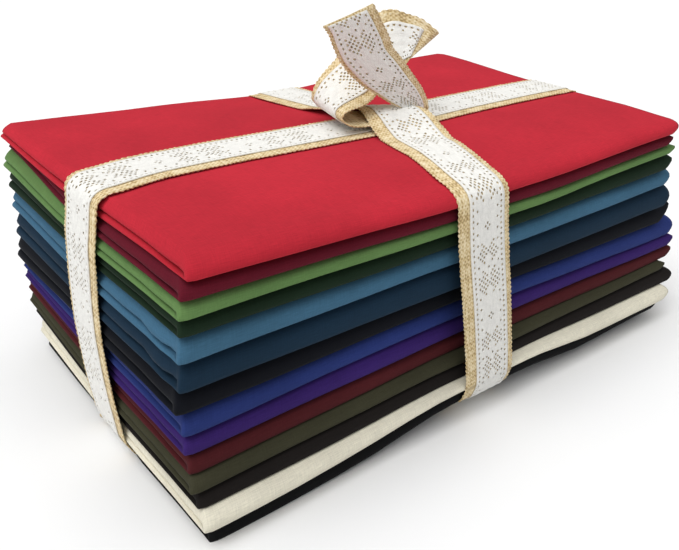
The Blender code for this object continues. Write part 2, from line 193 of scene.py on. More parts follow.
# The lace on each stretch: its half width, how far it lies off the middle along the
# way, and how far it stops short of the end.
LACES = {
    "long": (9.0, ((0.0, -0.8), (1.0, -0.8)), 0.0),
    "cross": (8.5, ((0.0, -1.1), (1.0, -1.1)), 0.0),
    "front_end": (9.4, ((0.0, 1.9), (1.0, 1.9)), 0.8),
    "back_end": (8.5, ((0.0, 1.1), (0.45, 1.1), (0.75, -0.9), (1.0, -0.9)), 3.2),
}
# Steps along a strip, how many of them a bend is averaged over, and the ribbon's
# distance from the cloth.
STEP = 0.8
BEND_WINDOW = 7
RIBBON_CLEAR = 0.25
# The stitches of the ribbon's edge: their pitch, and how thick they are and how far
# they stand out at each step of one.
PICOT_PITCH = 1.75
PICOT_RADII = np.array([0.24, 0.36, 0.42, 0.36])
PICOT_OUT = np.array([0.0, 0.2, 0.3, 0.2])
# An eyelet's reach as a share of its cell, along and across.
EYELET = (0.52, 0.47)
# The lengthwise ribs of the lace: how high and how many across half of it.
LACE_RIBS = (0.1, 4)
LACE_RISE = RIBBON_THICK / 2 + LACE_THICK / 2 + 0.12


def placed(points):
    return (np.asarray(points, float) + RECENTRE) * MM


def smooth(value, rows):
    """The second column of rows at a value of the first, without corners or overshoot."""
    xs, ys = np.array(rows, float).T
    steps = np.diff(ys) / np.diff(xs)
    slopes = np.zeros(len(xs))
    same = steps[:-1] * steps[1:] > 0
    product = 2 * steps[:-1] * steps[1:]
    total = np.where(same, steps[:-1] + steps[1:], 1.0)
    slopes[1:-1] = np.where(same, product / total, 0.0)
    value = np.clip(value, xs[0], xs[-1])
    i = np.clip(np.searchsorted(xs, value, side="right") - 1, 0, len(xs) - 2)
    h = xs[i + 1] - xs[i]
    t = (value - xs[i]) / h
    return (
        ys[i] * (1 + 2 * t) * (1 - t) ** 2
        + ys[i + 1] * t * t * (3 - 2 * t)
        + slopes[i] * h * t * (1 - t) ** 2
        - slopes[i + 1] * h * t * t * (1 - t)
    )


def ramp(value, start, end):
    t = np.clip((value - start) / (end - start), 0, 1)
    return t * t * (3 - 2 * t)


def channel(x, y):
    """How high the ribbon presses up the underside of the lowest cloth."""
    across = np.abs(y - LONG_BAND_Y) - CHANNEL_HALF
    along = np.abs(x - CROSS_BAND_X) - CHANNEL_HALF
    crossing = smooth(x, (
        (-60, CHANNEL_FLOOR), (-13, CROSSING_FLOOR), (25, CROSSING_FLOOR), (65, CHANNEL_FLOOR),
    ))
    long_rise = crossing * (1 - ramp(across, 0, CHANNEL_SLOPE))
    cross_rise = CHANNEL_FLOOR * (1 - ramp(along, 0, CHANNEL_SLOPE))
    return np.maximum(long_rise, cross_rise)


class Level:
    """The height field between two cloths, or above or below them all."""

    def __init__(self, row, belly=0.0, pressed=False):
        self.row = row
        self.belly = belly
        self.pressed = pressed

    def __call__(self, x, y):
        row = self.row
        left_half = (row["near"] + row["tie"]) / 2 - self.belly
        right_half = (row["far"] + row["tie"]) / 2 - self.belly
        front = np.maximum(0.0, smooth(x, (
            (-114.3, row["near"]), (-60, left_half), (-13, row["tie"]),
            (25, row["tie"]), (65, right_half), (114.3, row["far"]),
        )))
        share = smooth(y, FRONT_SHARE)
        middle = row["inside"] + share * (front - row["inside"])
        depth = np.clip((y + FOLDED_DEPTH / 2) / FOLDED_DEPTH, 0, 1)
        end = front + (row["back"] - front) * depth
        height = middle + smooth(x, LEFT_SHARE) * (end - middle)
        drop, dip_x, spread = BACK_DIP
        share = ramp(y, 10.0, 70.0) * np.exp(-(((x - dip_x) / spread) ** 2))
        height = height - drop * share * (row["back"] / TOP["back"]) ** 2
        at_left, at_right = CORNERS.get(row["name"], (0.0, 0.0))
        rising = at_left * ramp(-x, 55.0, 112.0) + at_right * ramp(x, 45.0, 90.0)
        height = height + rising * ramp(y, 0.0, 65.0)
        if self.pressed:
            height = np.maximum(height, channel(x, y))
        return height


def new_mesh(name, points, faces, uvs=None):
    """A smooth-shaded object from points in millimetres and faces by index."""
    mesh = bpy.data.meshes.new(name)
    mesh.from_pydata(placed(points).tolist(), [], [list(map(int, f)) for f in faces])
    mesh.polygons.foreach_set("use_smooth", [True] * len(mesh.polygons))
    if uvs is not None:
        layer = mesh.uv_layers.new(name="flat")
        corners = np.zeros(len(mesh.loops), int)
        mesh.loops.foreach_get("vertex_index", corners)
        layer.data.foreach_set("uv", np.asarray(uvs, float)[corners].astype(np.float32).ravel())
    obj = bpy.data.objects.new(name, mesh)
    bpy.context.scene.collection.objects.link(obj)
    return obj


def grid_normals(points):
    """Unit normals of a grid of points (rows, columns, 3)."""
    du = np.gradient(points, axis=0)
    dv = np.gradient(points, axis=1)
    normal = np.cross(du, dv)
    length = np.linalg.norm(normal, axis=2, keepdims=True)
    return normal / np.maximum(length, 1e-9)


def thick_grid(points, thick, flat):
    """A closed skin round a grid of points. flat holds each point's place on the cut."""
    rows, columns = points.shape[:2]
    normal = grid_normals(points)
    skin = [points + normal * thick / 2, points - normal * thick / 2]
    verts = np.concatenate([side.reshape(-1, 3) for side in skin])
    uvs = np.concatenate([flat.reshape(-1, 2)] * 2)
    index = np.arange(rows * columns).reshape(rows, columns)
    a, b, c, d = index[:-1, :-1], index[1:, :-1], index[1:, 1:], index[:-1, 1:]
    quads = np.stack([a, b, c, d], axis=-1).reshape(-1, 4)
    below = quads[:, ::-1] + rows * columns
    ring = np.concatenate([
        index[:-1, 0], index[-1, :-1], index[:0:-1, -1], index[0, :0:-1],
    ])
    after = np.roll(ring, -1)
    rim = np.stack([after, ring, ring + rows * columns, after + rows * columns], axis=-1)
    return verts, np.concatenate([quads, below, rim]), uvs


# Stations of a ply's track: under the cloth from the back to the front, round the front
# fold, and over the top to the back.
UNDER = (0.0, 0.012, 0.04, 0.12, 0.25, 0.4, 0.55, 0.68, 0.79, 0.87, 0.93, 0.97, 1.0)
NOSE = (0.08, 0.18, 0.3, 0.42, 0.54, 0.66, 0.78, 0.9, 1.0)
OVER = (0.02, 0.05, 0.09, 0.15, 0.23, 0.32, 0.42, 0.53, 0.64, 0.75, 0.86, 0.94, 0.98, 1.0)
WRAP = tuple(math.pi * k / 8 for k in range(1, 8))
# Shares of the way from the right end to the left one.
ALONG = (
    0.0, 0.006, 0.014, 0.028, 0.06, 0.11, 0.17, 0.24, 0.30, 0.36, 0.40, 0.44, 0.48, 0.52,
    0.56, 0.60, 0.66, 0.72, 0.79, 0.86, 0.91, 0.945, 0.968, 0.982, 0.992, 1.0,
)


def folded(row, above, below, wave, big_roll):
    """The points of one cut, folded in eighths: doubled at the back, again at the left
    end, and last of all at the front."""
    front = -FOLDED_DEPTH / 2 + row["front"] - FRONT_OUT
    back = front + FRONT_OUT + FOLDED_DEPTH
    left = -FOLDED_LENGTH / 2 + row["left"]
    right = FOLDED_LENGTH / 2 + row["right"]
    track = [(0, s) for s in UNDER] + [(1, s) for s in NOSE] + [(2, s) for s in OVER]
    tip = [(2, 1.0)]
    columns = [(kind, s, PLY_DEPTHS[0], 0.0) for kind, s in track]
    middle = sum(PLY_DEPTHS) / 2
    columns += [(kind, s, middle, 1.0) for kind, s in tip]
    columns += [(kind, s, PLY_DEPTHS[1], 0.0) for kind, s in reversed(track)]
    kind, s, depth, tip_out = (np.array(c, float)[None, :] for c in zip(*columns))
    turn = [(share, 0.0) for share in ALONG] + [(1.0, angle) for angle in WRAP]
    turn += [(share, math.pi) for share in reversed(ALONG)]
    share, angle = (np.array(c, float)[:, None] for c in zip(*turn))
    f = 0.5 + (depth - 0.5) * np.cos(angle)

    # Plan of the stack: how deep each ply lies, before its height is known.
    rough_height = np.mean([above(x, 0.0) - below(x, 0.0) for x in (-90.0, 0.0, 90.0)])
    inset = INSET[0] + INSET[1] * rough_height
    theta = s * math.pi / 2
    rough_x = left + (right - left) * (1 - share)
    nose_depth = NOSE_DEPTH + ROLL_EXTRA
    if big_roll:
        nose_depth = nose_depth + BIG_ROLL * (1 - ramp(rough_x, 70, 100))
    lean = nose_depth * (1 - np.cos(theta)) ** LEAN_POWER
    rise = np.sin(theta) ** RISE_POWER
    y_under = back + (front + UNDERCUT + f * (inset - UNDERCUT) - back) * s
    lean = lean + UNDERCUT * (1 - ramp(s, 0.0, UNDERCUT_END))
    y_nose = front + lean + f * (inset - lean)
    y_over = front + nose_depth + f * (inset - nose_depth)
    y_over = y_over + (back - y_over) * s
    y = np.where(kind == 0, y_under, np.where(kind == 1, y_nose, y_over))
    y = y + tip_out * 0.5
    half_share = np.where(kind == 0, 0.0, np.where(kind == 1, rise, 1.0))
    height = np.where(kind == 0, f * UNDER_SHARE, np.where(
        kind == 1, rise + f * (UNDER_SHARE - rise), 1 - f * OVER_SHARE))

    # Ends: the left one a rounded fold of each half, the right one eight raw edges.
    def corner(distance, radius):
        short = np.clip(radius - distance, 0, radius)
        return radius - np.sqrt(np.maximum(radius**2 - short**2, 0))

    from_front, from_back = np.clip(y - front, 0, None), np.clip(back - y, 0, None)
    bulge = BULGE[0] + BULGE[1] * half_share
    bulge = bulge * (0.35 + 0.65 * ramp(from_front, 1.0, 14.0))
    skew = BULGE_SKEW[0] + BULGE_SKEW[1] * half_share
    reach = np.abs(depth - 0.5) / BULGE_REACH
    out = bulge * reach * np.sin(math.pi * (angle / math.pi) ** skew)
    rim = left + bulge + 0.6 * half_share - 0.9
    rim = rim + corner(from_back, 1.2) + corner(from_front, 0.8)
    rim = rim - row["splay"] * ramp(from_front, 30.0, 140.0)
    rim = rim + CORNER_DRAW * (1 - ramp(from_front, 0.0, CORNER_DEPTH))
    if wave:
        near = np.exp(-((y - front - 12) / 14) ** 2)
        rim = rim + wave * near * np.sin((y - front) / 3.1) * (0.4 + 0.6 * half_share)
    tip, sharp, depth_in = row["tip"]
    end = right + row["longer"] - depth_in * (np.abs(height - tip) / 0.5) ** sharp
    end = end - corner(from_front, 1.6) - corner(from_back, 2.0)
    x = end + (rim - end) * share - out

    crease = 0.25 * np.sin(x / 27.0 + 2.3 * row["order"]) + 0.15 * np.sin(x / 11.0 + row["order"])
    crease = crease * (1 - ramp(from_front, 2.0, 14.0))
    tuck = 0.8 * (1 - ramp(x - left, 0.0, 4.0)) * (1 - ramp(from_front, 1.0, 9.0))
    y = y + crease + tuck

    low_y = np.where(kind == 1, front, y)
    high_y = np.where(kind == 1, front + nose_depth, y)
    low = below(x, low_y) + (0.0 if below.pressed else GAP / 2)
    high = above(x, high_y) - GAP / 2
    whole = high - low
    deeper = ramp(from_front, 4.0, 60.0)
    near_end = 1 - ramp(x - left, 2.0, 16.0)
    thin = HALF_THINNER * near_end * (1 - ramp(from_front, 3.0, 30.0))
    lower_half = whole * (HALF_SHARE + HALF_DEEPER * deeper - thin)
    mouth = np.exp(-(((from_front - MOUTH_AT) / MOUTH_REACH) ** 2))
    slit = SLIT * ramp(from_front, 0.3, 4.0) + row["mouth"] * near_end * mouth
    z_under = low + f * (lower_half - slit / 2)
    z_over = high - f * (whole - lower_half - slit / 2)
    z_nose = low + rise * whole
    z_nose = z_nose + f * (low + lower_half - z_nose)
    z = np.where(kind == 0, z_under, np.where(kind == 1, z_nose, z_over))

    points = np.stack(np.broadcast_arrays(x, y, z), axis=-1)
    across = np.linalg.norm(np.diff(points[5], axis=0), axis=1)
    down = np.concatenate([[0.0], np.cumsum(across)])
    along = np.concatenate([[0.0], np.cumsum(np.linalg.norm(np.diff(points[:, 20], axis=0), axis=1))])
    flat = np.stack(np.meshgrid(along, down, indexing="ij"), axis=-1) * MM
    return points, flat


def node(tree, kind, **values):
    made = tree.nodes.new(kind)
    for key, value in values.items():
        if key in made.inputs:
            made.inputs[key].default_value = value
        else:
            setattr(made, key, value)
    return made


def material(name):
    made = bpy.data.materials.new(name)
    made.use_nodes = True
    return made, made.node_tree, made.node_tree.nodes["Principled BSDF"]


def mapped(tree, scale):
    """The cut's own flat coordinates, scaled to so many repeats a metre."""
    place = node(tree, "ShaderNodeUVMap", uv_map="flat")
    move = node(tree, "ShaderNodeMapping")
    move.inputs["Scale"].default_value = scale
    tree.links.new(place.outputs["UV"], move.inputs["Vector"])
    return move.outputs["Vector"]


def maths(tree, operation, *sources):
    """A math node on numbers or on other nodes' outputs."""
    made = node(tree, "ShaderNodeMath", operation=operation)
    for slot, source in zip(made.inputs, sources):
        if isinstance(source, (int, float)):
            slot.default_value = source
        else:
            tree.links.new(source, slot)
    return made.outputs[0]


def noise(tree, vector, Scale=1.0, Detail=2.0, **values):
    made = node(tree, "ShaderNodeTexNoise", Scale=Scale, Detail=Detail, **values)
    tree.links.new(vector, made.inputs["Vector"])
    return made.outputs["Fac"]


def ranged(tree, source, low, high, to_low=0.0, to_high=1.0):
    """A value stretched from one range to another."""
    made = node(tree, "ShaderNodeMapRange", **{
        "From Min": low, "From Max": high, "To Min": to_low, "To Max": to_high})
    tree.links.new(source, made.inputs["Value"])
    return made.outputs[0]


def bumped(tree, height, strength, distance, under=None):
    made = node(tree, "ShaderNodeBump", Strength=strength, Distance=distance)
    tree.links.new(height, made.inputs["Height"])
    if under:
        tree.links.new(under, made.inputs["Normal"])
    return made.outputs[0]


def tinted(tree, shader, colour, *shares):
    """The base colour, scaled by the product of some shares."""
    share = shares[0]
    for other in shares[1:]:
        share = maths(tree, "MULTIPLY", share, other)
    tint = node(tree, "ShaderNodeVectorMath", operation="SCALE")
    tint.inputs[0].default_value = colour
    tree.links.new(share, tint.inputs["Scale"])
    tree.links.new(tint.outputs[0], shader.inputs["Base Color"])


def finished(tree, shader, normal, roughness, specular, sheen, sheen_roughness=0.5):
    tree.links.new(normal, shader.inputs["Normal"])
    shader.inputs["Roughness"].default_value = roughness
    shader.inputs["Specular IOR Level"].default_value = specular
    shader.inputs["Sheen Weight"].default_value = sheen
    shader.inputs["Sheen Roughness"].default_value = sheen_roughness


def weave(tree, pitch_mm):
    """Height of a plain weave: warp and weft cross over by turns. Threads at pitch_mm."""
    rate = 1 / (pitch_mm * MM)
    split = node(tree, "ShaderNodeSeparateXYZ")
    tree.links.new(mapped(tree, (rate / 2, rate / 2, 1)), split.inputs[0])
    turns = [maths(tree, "MULTIPLY", split.outputs[axis], 2 * math.pi) for axis in "XY"]
    return maths(tree, "MULTIPLY", *(maths(tree, "SINE", turn) for turn in turns))


def cotton(name, colour):
    """Plain woven cotton: fine threads, a soft cloudy fade and a faint nap."""
    made, tree, shader = material(name)
    place = node(tree, "ShaderNodeTexCoord").outputs["Object"]
    cloud = noise(tree, place, Scale=28.0, Detail=3.0, Roughness=0.55)
    slub = noise(tree, mapped(tree, (260, 3200, 1)))
    warp = noise(tree, mapped(tree, (3100, 210, 1)))
    threads = maths(tree, "ADD", warp, slub)
    tinted(
        tree, shader, [channel_value * DYE for channel_value in colour],
        ranged(tree, threads, 0.7, 1.3, 0.9, 1.1),
        ranged(tree, cloud, 0.3, 0.7, 0.9, 1.08),
        ranged(tree, slub, 0.0, 1.0, 0.94, 1.06))
    fine = bumped(tree, threads, 0.25, 0.00008)
    creases = bumped(tree, noise(tree, place, Scale=90.0), 0.18, 0.0006, fine)
    finished(tree, shader, creases, roughness=0.85, specular=0.1, sheen=0.02)
    return made


def burlap():
    """Loose plain-woven jute: golden yarns of varying tone, with painted shade in the gaps between
    them.
    """
    made, tree, shader = material("burlap")
    strands = maths(tree, "ADD", *(
        noise(tree, mapped(tree, scale)) for scale in ((1150, 160, 1), (160, 1150, 1))))
    yarns = ranged(tree, strands, 0.6, 1.4)
    height = maths(tree, "MULTIPLY_ADD", weave(tree, 0.8), 0.2, yarns)
    # The colour follows the height: random tone along the yarns, and painted shade, dark brown where
    # the weave lies low between them.
    tone_and_gap_shade = node(tree, "ShaderNodeValToRGB")
    elements = tone_and_gap_shade.color_ramp.elements
    elements[0].position = 0.15
    elements[0].color = (0.36, 0.24, 0.10, 1)
    elements[1].position = 0.85
    elements[1].color = (0.82, 0.71, 0.49, 1)
    elements.new(0.45).color = (0.66, 0.51, 0.27, 1)
    tree.links.new(height, tone_and_gap_shade.inputs["Fac"])
    tree.links.new(tone_and_gap_shade.outputs["Color"], shader.inputs["Base Color"])
    relief = bumped(tree, height, 0.6, 0.0003)
    finished(tree, shader, relief, roughness=0.85, specular=0.2, sheen=0.1)
    return made


def lace_thread():
    """Off-white cotton lace: fine rounded stitches with a faint warm shade."""
    made, tree, shader = material("lace")
    stitches = maths(tree, "ADD", *(
        noise(tree, mapped(tree, scale)) for scale in ((2400, 900, 1), (260, 2300, 1))))
    cloud = noise(tree, mapped(tree, (420, 420, 1)))
    tinted(
        tree, shader, (0.84, 0.83, 0.79),
        ranged(tree, stitches, 0.6, 1.4, 0.88, 1.06),
        ranged(tree, cloud, 0.35, 0.65, 0.94, 1.0))
    relief = bumped(tree, stitches, 0.5, 0.00018)
    finished(tree, shader, relief, roughness=0.75, specular=0.25, sheen=0.1)
    return made


def make_cloths():
    made = {}
    above = Level(TOP)
    for order, values in enumerate(CLOTHS):
        row = dict(zip(COLUMNS, values), order=order)
        name = row["name"]
        below = Level(row, BELLY.get(name, 0.0), pressed=order == len(CLOTHS) - 1)
        wave = {"cloth_steel_blue": 0.8, "cloth_ink_blue": 0.9}.get(name, 0.15)
        row["splay"], row["longer"] = SPLAY.get(name, OTHER_SPLAY)
        row["tip"] = TIPS.get(name, POINTED)
        row["mouth"] = MOUTHS.get(name, 0.25)
        points, flat = folded(row, above, below, wave, big_roll=order == 0)
        verts, faces, uvs = thick_grid(points, PLY, flat)
        piece = new_mesh(name.replace("cloth_", "cotton_"), verts, faces, uvs)
        piece.data.materials.append(cotton(name, COLOURS[name]))
        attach(piece, "root")
        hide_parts(name)
        made[name] = verts
        above = below
    return made


def hull(points):
    """The convex hull of points in a plane, anticlockwise."""
    points = sorted(set(map(tuple, np.round(points, 4))))

    def chain(line):
        kept = []
        for p in line:
            while len(kept) > 1:
                (ax, ay), (bx, by) = kept[-2], kept[-1]
                if (bx - ax) * (p[1] - ay) - (by - ay) * (p[0] - ax) > 0:
                    break
                kept.pop()
            kept.append(p)
        return kept[:-1]

    return np.array(chain(points) + chain(points[::-1]))


def resample(path, step, closed):
    """Evenly spaced points along a path of rows of any width, measured in its first
    three columns."""
    path = np.asarray(path, float)
    if closed:
        path = np.vstack([path, path[:1]])
    length = np.concatenate([[0], np.cumsum(np.linalg.norm(np.diff(path[:, :3], axis=0), axis=1))])
    count = max(4, int(round(length[-1] / step)))
    at = np.linspace(0, length[-1], count + 1)
    if closed:
        at = at[:-1]
    return np.stack([np.interp(at, length, column) for column in path.T], axis=1)


def rounded(path, window, closed):
    """A path of evenly spaced points, averaged over a window of them."""
    kernel = np.hanning(window + 2)[1:-1]
    kernel = kernel / kernel.sum()
    pad = window // 2
    mode = "wrap" if closed else "edge"
    wide = np.pad(path, ((pad, pad), (0, 0)), mode=mode)
    return np.stack([np.convolve(column, kernel, "valid") for column in wide.T], axis=1)


def loop_round(verts):
    """A taut loop in a plane round points, a little outside them."""
    ring = hull(verts)
    ring = np.hstack([ring, np.zeros((len(ring), 1))])
    path = resample(ring, STEP, True)
    path = rounded(path, BEND_WINDOW, True)[:, :2]
    before, after = np.roll(path, 1, axis=0), np.roll(path, -1, axis=0)
    way = after - before
    way = way / np.linalg.norm(way, axis=1, keepdims=True)
    outward = np.stack([way[:, 1], -way[:, 0]], axis=1)
    return path + outward * (RIBBON_THICK / 2 + RIBBON_CLEAR)


def strip(places, across, normals, share=None, cup=None):
    return {
        "places": np.asarray(places, float),
        "across": np.asarray(across, float),
        "normals": np.asarray(normals, float),
        "share": np.ones(len(places)) if share is None else np.asarray(share, float),
        "cup": np.zeros(len(places)) if cup is None else np.asarray(cup, float),
    }


def frames(places, across, closed):
    """Unit directions across and square to a strip that runs through the places."""
    if closed:
        way = np.roll(places, -1, axis=0) - np.roll(places, 1, axis=0)
    else:
        way = np.gradient(places, axis=0)
    way = way / np.linalg.norm(way, axis=1, keepdims=True)
    across = across - (across * way).sum(1, keepdims=True) * way
    across = across / np.linalg.norm(across, axis=1, keepdims=True)
    return across, np.cross(way, across)


def on_strip(ribbon, index, width, rise):
    """Points at a width from the middle of a strip and a rise off it. index may be
    fractional."""
    count = len(ribbon["places"])
    low = np.floor(index).astype(int)
    t = (index - low)[..., None]

    def at(key):
        values = ribbon[key]
        if values.ndim == 1:
            values = values[:, None]
        if ribbon["closed"]:
            return values[low % count] * (1 - t) + values[(low + 1) % count] * t
        a, b = np.clip(low, 0, count - 1), np.clip(low + 1, 0, count - 1)
        return values[a] * (1 - t) + values[b] * t

    width = np.asarray(width)[..., None]
    rise = np.asarray(rise)[..., None]
    place = at("places") + at("across") * width * at("share")
    lift = rise + at("cup") * (width / RIBBON_HALF) ** 2
    return place + at("normals") * lift


def strip_skin(ribbon, edges, thick, rise, step):
    """A closed skin of a strip between edges, with even steps along it."""
    count = len(ribbon["places"]) - (0 if ribbon["closed"] else 1)
    rows = max(3, int(round(count * STEP / step)))
    index = np.linspace(0, count, rows + 1)
    if ribbon["closed"]:
        index = index[:-1]
    i, w = np.meshgrid(index, edges, indexing="ij")
    top = on_strip(ribbon, i, w, np.full(i.shape, rise + thick / 2))
    low = on_strip(ribbon, i, w, np.full(i.shape, rise - thick / 2))
    n, m = i.shape
    verts = np.concatenate([top.reshape(-1, 3), low.reshape(-1, 3)])
    flat = np.stack([i * STEP, w], axis=-1).reshape(-1, 2) * MM
    grid = np.arange(n * m).reshape(n, m)
    following = np.roll(grid, -1, axis=0) if ribbon["closed"] else grid[1:]
    here = grid if ribbon["closed"] else grid[:-1]
    a, b = here[:, :-1], following[:, :-1]
    c, d = following[:, 1:], here[:, 1:]
    upper = np.stack([a, b, c, d], axis=-1).reshape(-1, 4)
    lower = upper[:, ::-1] + n * m
    here_0, next_0, here_1, next_1 = here[:, 0], following[:, 0], here[:, -1], following[:, -1]
    left = np.stack([here_0 + n * m, next_0 + n * m, next_0, here_0], axis=-1)
    right = np.stack([here_1, next_1, next_1 + n * m, here_1 + n * m], axis=-1)
    faces = [upper, lower, left, right]
    if not ribbon["closed"]:
        for line, flip in ((grid[0], True), (grid[-1], False)):
            cap = np.stack([line[:-1], line[:-1] + n * m, line[1:] + n * m, line[1:]], axis=-1)
            faces.append(cap if not flip else cap[:, ::-1])
    return verts, np.concatenate(faces), np.concatenate([flat, flat])


def picot_edge(ribbon, side):
    """The beaded edge: a row of small stitches round the selvedge."""
    count = len(ribbon["places"]) - (0 if ribbon["closed"] else 1)
    per_bead = len(PICOT_RADII)
    beads = max(2, int(round(count * STEP / PICOT_PITCH)))
    rows = beads * per_bead
    index = np.linspace(0, count, rows + 1)
    if ribbon["closed"]:
        index = index[:-1]
    phase = np.arange(len(index)) % per_bead
    bead = np.arange(len(index)) // per_bead
    vary = 0.75 + 0.5 * (np.sin(bead * 12.9898 + side) * 43758.5453 % 1.0)
    radius = PICOT_RADII[phase] * (0.5 + 0.5 * vary)
    out = PICOT_OUT[phase] * vary
    angles = np.arange(6) * math.pi / 3
    i = np.repeat(index[:, None], len(angles), axis=1)
    w = side * (RIBBON_HALF + out[:, None] + radius[:, None] * np.cos(angles)[None, :] * 0.9)
    rise = radius[:, None] * np.sin(angles)[None, :] * 0.85 + 0.05
    points = on_strip(ribbon, i, w, rise)
    n = len(index)
    grid = np.arange(n * len(angles)).reshape(n, len(angles))
    here = grid if ribbon["closed"] else grid[:-1]
    following = np.roll(grid, -1, axis=0) if ribbon["closed"] else grid[1:]
    a, b = here, following
    c, d = np.roll(following, -1, axis=1), np.roll(here, -1, axis=1)
    quads = np.stack([a, b, c, d], axis=-1).reshape(-1, 4)
    if side < 0:
        quads = quads[:, ::-1]
    faces = quads.tolist()
    if not ribbon["closed"]:
        first, last = grid[0].tolist(), grid[-1].tolist()
        if side < 0:
            first, last = first[::-1], last[::-1]
        faces += [first, last[::-1]]
    flat = np.stack([i * STEP, w], axis=-1).reshape(-1, 2) * MM
    return points.reshape(-1, 3), faces, flat


def joined(parts):
    verts, faces, uvs, start = [], [], [], 0
    for points, quads, flat in parts:
        verts.append(points)
        uvs.append(flat)
        faces += [[int(k) + start for k in q] for q in quads]
        start += len(points)
    return np.concatenate(verts), faces, np.concatenate(uvs)


# Cells in a repeat of the lace.
REPEAT = 34
# Lattices of eyelets: where each lies along and across a repeat, and its reach both ways.
LATTICES = (
    (4.5, 5.5, 5.0, 2.6), (4.5, 10.5, 5.0, 2.6), (15.5, 5.5, 4.6, 2.6), (15.5, 10.5, 4.6, 2.6),
    (10.0, 8.0, 1.5, 1.3), (25.0, 8.0, 2.6, 1.6),
)


def holes(i, j):
    """Which cells of the lace are open: rows of eyelets along the edges, and between
    them pairs of long lattices and a solid round with a few eyelets in it."""
    if j in (1, LACE_CELLS - 2):
        return i % 2 == 0
    if j in (3, LACE_CELLS - 4) and i % 4 == 1:
        return True
    for centre_i, centre_j, reach_i, reach_j in LATTICES:
        di, dj = abs(i % REPEAT - centre_i), abs(j - centre_j)
        if di / reach_i + dj / reach_j <= 1.1 and (i + j) % 2 == 0:
            return True
    return False


def lace_mesh(ribbon, half, shift, trim):
    """The lace as a real openwork sheet: cells on a grid, the open ones as eyelets. It
    stops short of the ribbon's end by trim."""
    count = len(ribbon["places"]) - (0 if ribbon["closed"] else 1) - trim / STEP
    along = int(round(count * STEP / CELL))
    if ribbon["closed"]:
        along = REPEAT * int(round(along / REPEAT))
    across = LACE_CELLS
    index = np.linspace(0, count, along + 1)
    edges = np.linspace(-half, half, across + 1)
    share_along = np.linspace(0, count, 40)
    moved = smooth(share_along / count, shift)
    points_2d, faces = [], []
    corner = {}

    def point(a, b):
        points_2d.append((a, b))
        return len(points_2d) - 1

    def corner_point(i, j):
        key = (i % along if ribbon["closed"] else i, j)
        if key not in corner:
            corner[key] = point(index[key[0]], edges[j])
        return corner[key]

    step_i, step_j = index[1] - index[0], edges[1] - edges[0]
    reach_i, reach_j = EYELET[0] * step_i, EYELET[1] * step_j
    walls = []
    for i in range(along):
        for j in range(across):
            c = [
                corner_point(i, j), corner_point(i + 1, j),
                corner_point(i + 1, j + 1), corner_point(i, j + 1),
            ]
            if not holes(i, j):
                faces.append(c)
                continue
            mid_i, mid_j = index[i] + step_i / 2, edges[j] + step_j / 2
            ring = []
            for k in range(8):
                angle = math.pi * (k / 4 + 1.125)
                ring.append(point(
                    mid_i + reach_i * math.cos(angle), mid_j + reach_j * math.sin(angle)))
            for side in range(4):
                a, b = c[side], c[(side + 1) % 4]
                r0, r1, r2 = ring[2 * side], ring[2 * side + 1], ring[(2 * side + 2) % 8]
                faces.append([a, b, r1, r0])
                faces.append([b, r2, r1])
            walls += [(ring[k], ring[(k + 1) % 8]) for k in range(8)]
    outline = []
    for i in range(along):
        outline.append((corner_point(i, 0), corner_point(i + 1, 0)))
        outline.append((corner_point(i + 1, across), corner_point(i, across)))
    if not ribbon["closed"]:
        for j in range(across):
            outline.append((corner_point(along, j), corner_point(along, j + 1)))
            outline.append((corner_point(0, j + 1), corner_point(0, j)))
    flat = np.array(points_2d)
    size = len(flat)
    # Lengthwise ribs stand a little proud, as they do in woven lace.
    rib_height, ribs = LACE_RIBS
    swell = rib_height * np.cos(flat[:, 1] / LACE_HALF * math.pi * ribs)
    flat[:, 1] += np.interp(flat[:, 0], share_along, moved)
    top = on_strip(ribbon, flat[:, 0], flat[:, 1], LACE_RISE + LACE_THICK / 2 + swell)
    low = on_strip(ribbon, flat[:, 0], flat[:, 1], np.full(size, LACE_RISE - LACE_THICK / 2))
    every = [list(face) for face in faces]
    every += [[k + size for k in face[::-1]] for face in faces]
    every += [[b, a, a + size, b + size] for a, b in outline]
    every += [[b, a, a + size, b + size][::-1] for a, b in walls]
    verts = np.concatenate([top, low])
    uvs = np.stack([flat[:, 0] * STEP, flat[:, 1]], axis=-1) * MM
    return verts, every, np.concatenate([uvs, uvs])


# How far the long loop strays to the back, down the left end and over the top.
LONG_DRIFT_DOWN = ((0, -2.0), (4, -6.0), (14, -5.4), (28, -1.8), (55, 0.4), (80, -1.4), (94, 0.0))
LONG_DRIFT_OVER = (
    (-114, 0.0), (-104, 1.8), (-88, 4.6), (-66, 4.2), (-45, 2.8), (-20, 1.0), (0, 0.0),
    (50, 1.8), (90, 1.2), (114, 0.0),
)
# Where the cross loop runs: by height down the front, and by depth over the top.
CROSS_LEAN = ((0.0, 2.2), (17.0, 2.2), (30.0, 1.2), (50.0, -0.8), (68.0, -3.0), (86.0, -4.0))
CROSS_TOP = (
    (-72.0, -4.2), (-62.0, -3.2), (-50.0, -1.0), (-40.0, 0.8), (-20.0, 4.6), (-10.0, 5.8), (0.0, 7.0),
    (12.0, 6.0), (30.0, 5.0), (70.0, 4.0),
)
# How wide the cross loop is over the top, as a share of the ribbon's width.
CROSS_SHARE = (
    (-72.0, 0.94), (-45.0, 0.97), (-30.0, 1.0), (-18.0, 0.96), (-8.0, 0.87), (2.0, 0.82),
    (12.0, 0.88), (26.0, 1.0),
)
# How far the cross loop rises where it rides over the knot.
HUMP = (
    (-34.0, 0.0), (-26.0, 1.8), (-18.0, 4.8), (-11.0, 6.4), (-5.0, 6.0), (1.0, 4.0),
    (7.0, 2.6), (14.0, 1.4), (24.0, 0.0),
)
HUMP_SLANT = 0.62
HUMP_X = 5.0
# The part of the stack that each loop is drawn tight round: its middle and half width.
LONG_ROUND = (LONG_BAND_Y, 13.2)
CROSS_ROUND = (4.0, 13.5)
CROSS_BACK_LEAN = 2.0
